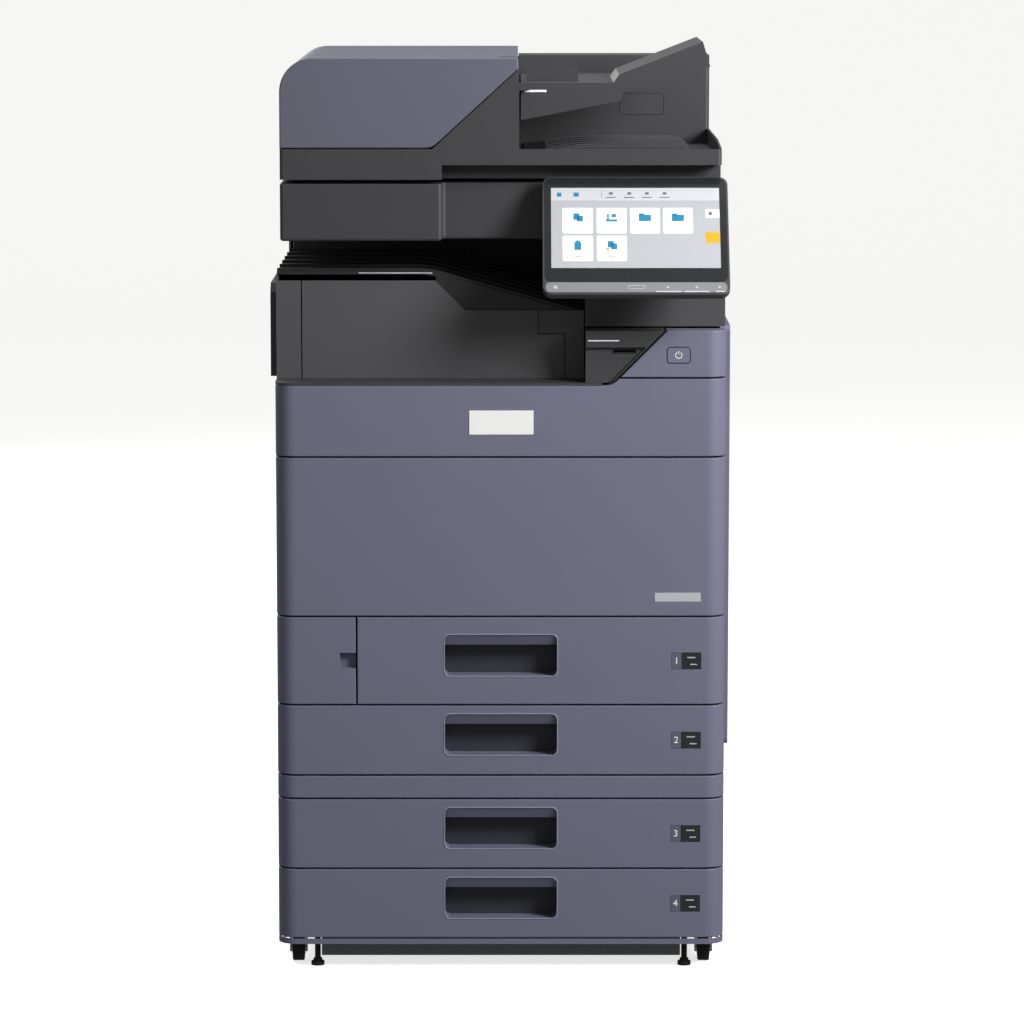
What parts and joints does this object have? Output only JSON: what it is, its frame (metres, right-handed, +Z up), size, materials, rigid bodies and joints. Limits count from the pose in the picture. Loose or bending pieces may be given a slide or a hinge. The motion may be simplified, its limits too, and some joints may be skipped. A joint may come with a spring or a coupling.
{
  "type": "photocopier",
  "caption": "Floor-standing A3 office photocopier with document feeder, tilting touch panel, in-body output tray and stacked paper cassettes on casters",
  "frame": {"origin": "on the floor under the middle of the bounding box", "axes": "+Z up, +X to the user's right, the user stands at -Y"},
  "size_m": [0.619, 0.6766, 1.248],
  "materials": {
    "body_abs": "moulded ABS with a fine spark-eroded grain, violet grey",
    "dark_abs": "moulded ABS with a fine grain, near black",
    "feeder_abs": "moulded ABS, violet grey",
    "sheet_steel": "zinc-plated sheet steel",
    "bin_abs": "moulded ABS, mid grey",
    "panel_glass": "coated glass over a display",
    "platen_glass": "float glass",
    "rubber": "moulded rubber",
    "wheel": "hard rubber tread",
    "zinc_steel": "zinc-plated pressed steel",
    "toner_pe": "blow-moulded polyethylene",
    "waste_pe": "translucent polyethylene",
    "belt": "polyimide belt",
    "drum": "organic photoconductor and its housing",
    "roller_rubber": "EPDM roller rubber"
  },
  "bodies": {
    "root": {"base_pan": "sheet_steel", "trim_strips": "body_abs", "frame": "sheet_steel", "side_covers": "body_abs", "rear_covers": "body_abs", "upper_fascia": "body_abs", "power_panel": "body_abs", "usb_block": "dark_abs", "column_cover": "dark_abs", "ledge_cover": "dark_abs", "inner_tray": "dark_abs", "bridge_covers": "dark_abs", "rear_wall": "dark_abs", "scanner_housing": "dark_abs", "platen_glass": "platen_glass", "leveling_feet": "rubber", "cover_screws": "zinc_steel", "power_inlet": "dark_abs", "toner_containers": "toner_pe", "waste_toner_box": "waste_pe", "drum_units": "drum", "transfer_belt": "belt", "fuser": "sheet_steel", "laser_unit": "sheet_steel", "power_supply": "sheet_steel", "feed_rollers": "roller_rubber"},
    "scanner_carriage": {"scanner_carriage": "dark_abs"},
    "front_door": {"front_door": "body_abs"},
    "waste_door": {"waste_door": "body_abs"},
    "right_door": {"right_door": "body_abs"},
    "multipurpose_tray": {"multipurpose_tray": "body_abs"},
    "power_button": {"power_button": "body_abs"},
    "touch_panel": {"panel_housing": "dark_abs", "panel_glass": "panel_glass"},
    "feeder": {"feeder_base": "dark_abs", "feeder_rollers": "roller_rubber"},
    "feeder_cover": {"feeder_cover": "feeder_abs"},
    "document_tray": {"document_tray": "dark_abs"},
    "guide_front": {"guide_front": "dark_abs"},
    "guide_rear": {"guide_rear": "dark_abs"},
    "cassette_1": {"cassette_1_panel": "body_abs", "cassette_1_bin": "bin_abs"},
    "lift_plate_1": {"cassette_1_lift_plate": "sheet_steel"},
    "cassette_2": {"cassette_2_panel": "body_abs", "cassette_2_bin": "bin_abs"},
    "lift_plate_2": {"cassette_2_lift_plate": "sheet_steel"},
    "cassette_3": {"cassette_3_panel": "body_abs", "cassette_3_bin": "bin_abs"},
    "lift_plate_3": {"cassette_3_lift_plate": "sheet_steel"},
    "cassette_4": {"cassette_4_panel": "body_abs", "cassette_4_bin": "bin_abs"},
    "lift_plate_4": {"cassette_4_lift_plate": "sheet_steel"},
    "caster_fork_1": {"caster_fork_1": "zinc_steel"},
    "caster_wheel_1": {"caster_wheel_1": "wheel"},
    "caster_fork_2": {"caster_fork_2": "zinc_steel"},
    "caster_wheel_2": {"caster_wheel_2": "wheel"},
    "caster_fork_3": {"caster_fork_3": "zinc_steel"},
    "caster_wheel_3": {"caster_wheel_3": "wheel"},
    "caster_fork_4": {"caster_fork_4": "zinc_steel"},
    "caster_wheel_4": {"caster_wheel_4": "wheel"}
  },
  "joints": [
    {"name": "carriage_slide", "type": "slide", "parent": "root", "child": "scanner_carriage", "axis": [1, 0, 0], "range_m": [0, 0.5]},
    {"name": "front_door_hinge", "type": "hinge", "parent": "root", "child": "front_door", "pos_m": [0, -0.2545, 0.4901], "axis": [1, 0, 0], "range_deg": [0, 90]},
    {"name": "waste_door_hinge", "type": "hinge", "parent": "root", "child": "waste_door", "pos_m": [-0.296, -0.2247, 0.424], "axis": [0, 0, -1], "range_deg": [0, 110]},
    {"name": "right_door_hinge", "type": "hinge", "parent": "root", "child": "right_door", "pos_m": [0.3045, 0.2165, 0.579], "axis": [0, 0, 1], "range_deg": [0, 75]},
    {"name": "multipurpose_tray_hinge", "type": "hinge", "parent": "right_door", "child": "multipurpose_tray", "pos_m": [0.3045, -0.0027, 0.409], "axis": [0, 1, 0], "range_deg": [0, 70]},
    {"name": "power_button_press", "type": "slide", "parent": "root", "child": "power_button", "axis": [0, 1, 0], "range_m": [0, 0.0015], "stiffness_N_per_m": 400},
    {"name": "touch_panel_tilt", "type": "hinge", "parent": "root", "child": "touch_panel", "pos_m": [0.178, -0.2654, 0.9622], "axis": [1, 0, 0], "range_deg": [0, 30]},
    {"name": "feeder_hinge", "type": "hinge", "parent": "root", "child": "feeder", "pos_m": [0, 0.255, 1.08], "axis": [-1, 0, 0], "range_deg": [0, 60]},
    {"name": "feeder_cover_hinge", "type": "hinge", "parent": "feeder", "child": "feeder_cover", "pos_m": [-0.288, 0, 1.1212], "axis": [0, -1, 0], "range_deg": [0, 75]},
    {"name": "document_tray_hinge", "type": "hinge", "parent": "feeder", "child": "document_tray", "pos_m": [0.033, -0.0245, 1.189], "axis": [0, -1, 0], "range_deg": [0, 20]},
    {"name": "guide_front_slide", "type": "slide", "parent": "document_tray", "child": "guide_front", "axis": [0, 1, 0], "range_m": [-0.026, 0.08]},
    {"name": "guide_rear_slide", "type": "slide", "parent": "document_tray", "child": "guide_rear", "axis": [0, 1, 0], "range_m": [-0.08, 0.026]},
    {"name": "cassette_1_slide", "type": "slide", "parent": "root", "child": "cassette_1", "axis": [0, -1, 0], "range_m": [0, 0.36]},
    {"name": "lift_plate_1_hinge", "type": "hinge", "parent": "cassette_1", "child": "lift_plate_1", "pos_m": [0.022, -0.0027, 0.376], "axis": [0, -1, 0], "range_deg": [0, 10]},
    {"name": "cassette_2_slide", "type": "slide", "parent": "root", "child": "cassette_2", "axis": [0, -1, 0], "range_m": [0, 0.36]},
    {"name": "lift_plate_2_hinge", "type": "hinge", "parent": "cassette_2", "child": "lift_plate_2", "pos_m": [0.022, -0.0027, 0.28], "axis": [0, -1, 0], "range_deg": [0, 10]},
    {"name": "cassette_3_slide", "type": "slide", "parent": "root", "child": "cassette_3", "axis": [0, -1, 0], "range_m": [0, 0.36]},
    {"name": "lift_plate_3_hinge", "type": "hinge", "parent": "cassette_3", "child": "lift_plate_3", "pos_m": [0.022, -0.0027, 0.152], "axis": [0, -1, 0], "range_deg": [0, 10]},
    {"name": "cassette_4_slide", "type": "slide", "parent": "root", "child": "cassette_4", "axis": [0, -1, 0], "range_m": [0, 0.36]},
    {"name": "lift_plate_4_hinge", "type": "hinge", "parent": "cassette_4", "child": "lift_plate_4", "pos_m": [0.022, -0.0027, 0.056], "axis": [0, -1, 0], "range_deg": [0, 10]},
    {"name": "caster_1_swivel", "type": "hinge", "parent": "root", "child": "caster_fork_1", "pos_m": [-0.276, -0.2065, 0.04], "axis": [0, 0, 1], "continuous": true},
    {"name": "caster_1_roll", "type": "hinge", "parent": "caster_fork_1", "child": "caster_wheel_1", "pos_m": [-0.276, -0.1985, 0.018], "axis": [1, 0, 0], "continuous": true},
    {"name": "caster_2_swivel", "type": "hinge", "parent": "root", "child": "caster_fork_2", "pos_m": [0.276, -0.2065, 0.04], "axis": [0, 0, 1], "continuous": true},
    {"name": "caster_2_roll", "type": "hinge", "parent": "caster_fork_2", "child": "caster_wheel_2", "pos_m": [0.276, -0.1985, 0.018], "axis": [1, 0, 0], "continuous": true},
    {"name": "caster_3_swivel", "type": "hinge", "parent": "root", "child": "caster_fork_3", "pos_m": [-0.276, 0.2785, 0.04], "axis": [0, 0, 1], "continuous": true},
    {"name": "caster_3_roll", "type": "hinge", "parent": "caster_fork_3", "child": "caster_wheel_3", "pos_m": [-0.276, 0.2865, 0.018], "axis": [1, 0, 0], "continuous": true},
    {"name": "caster_4_swivel", "type": "hinge", "parent": "root", "child": "caster_fork_4", "pos_m": [0.276, 0.2785, 0.04], "axis": [0, 0, 1], "continuous": true},
    {"name": "caster_4_roll", "type": "hinge", "parent": "caster_fork_4", "child": "caster_wheel_4", "pos_m": [0.276, 0.2865, 0.018], "axis": [1, 0, 0], "continuous": true}
  ],
  "couplings": [
    {"joint": "guide_rear_slide", "follows": "guide_front_slide", "ratio": -1}
  ]
}
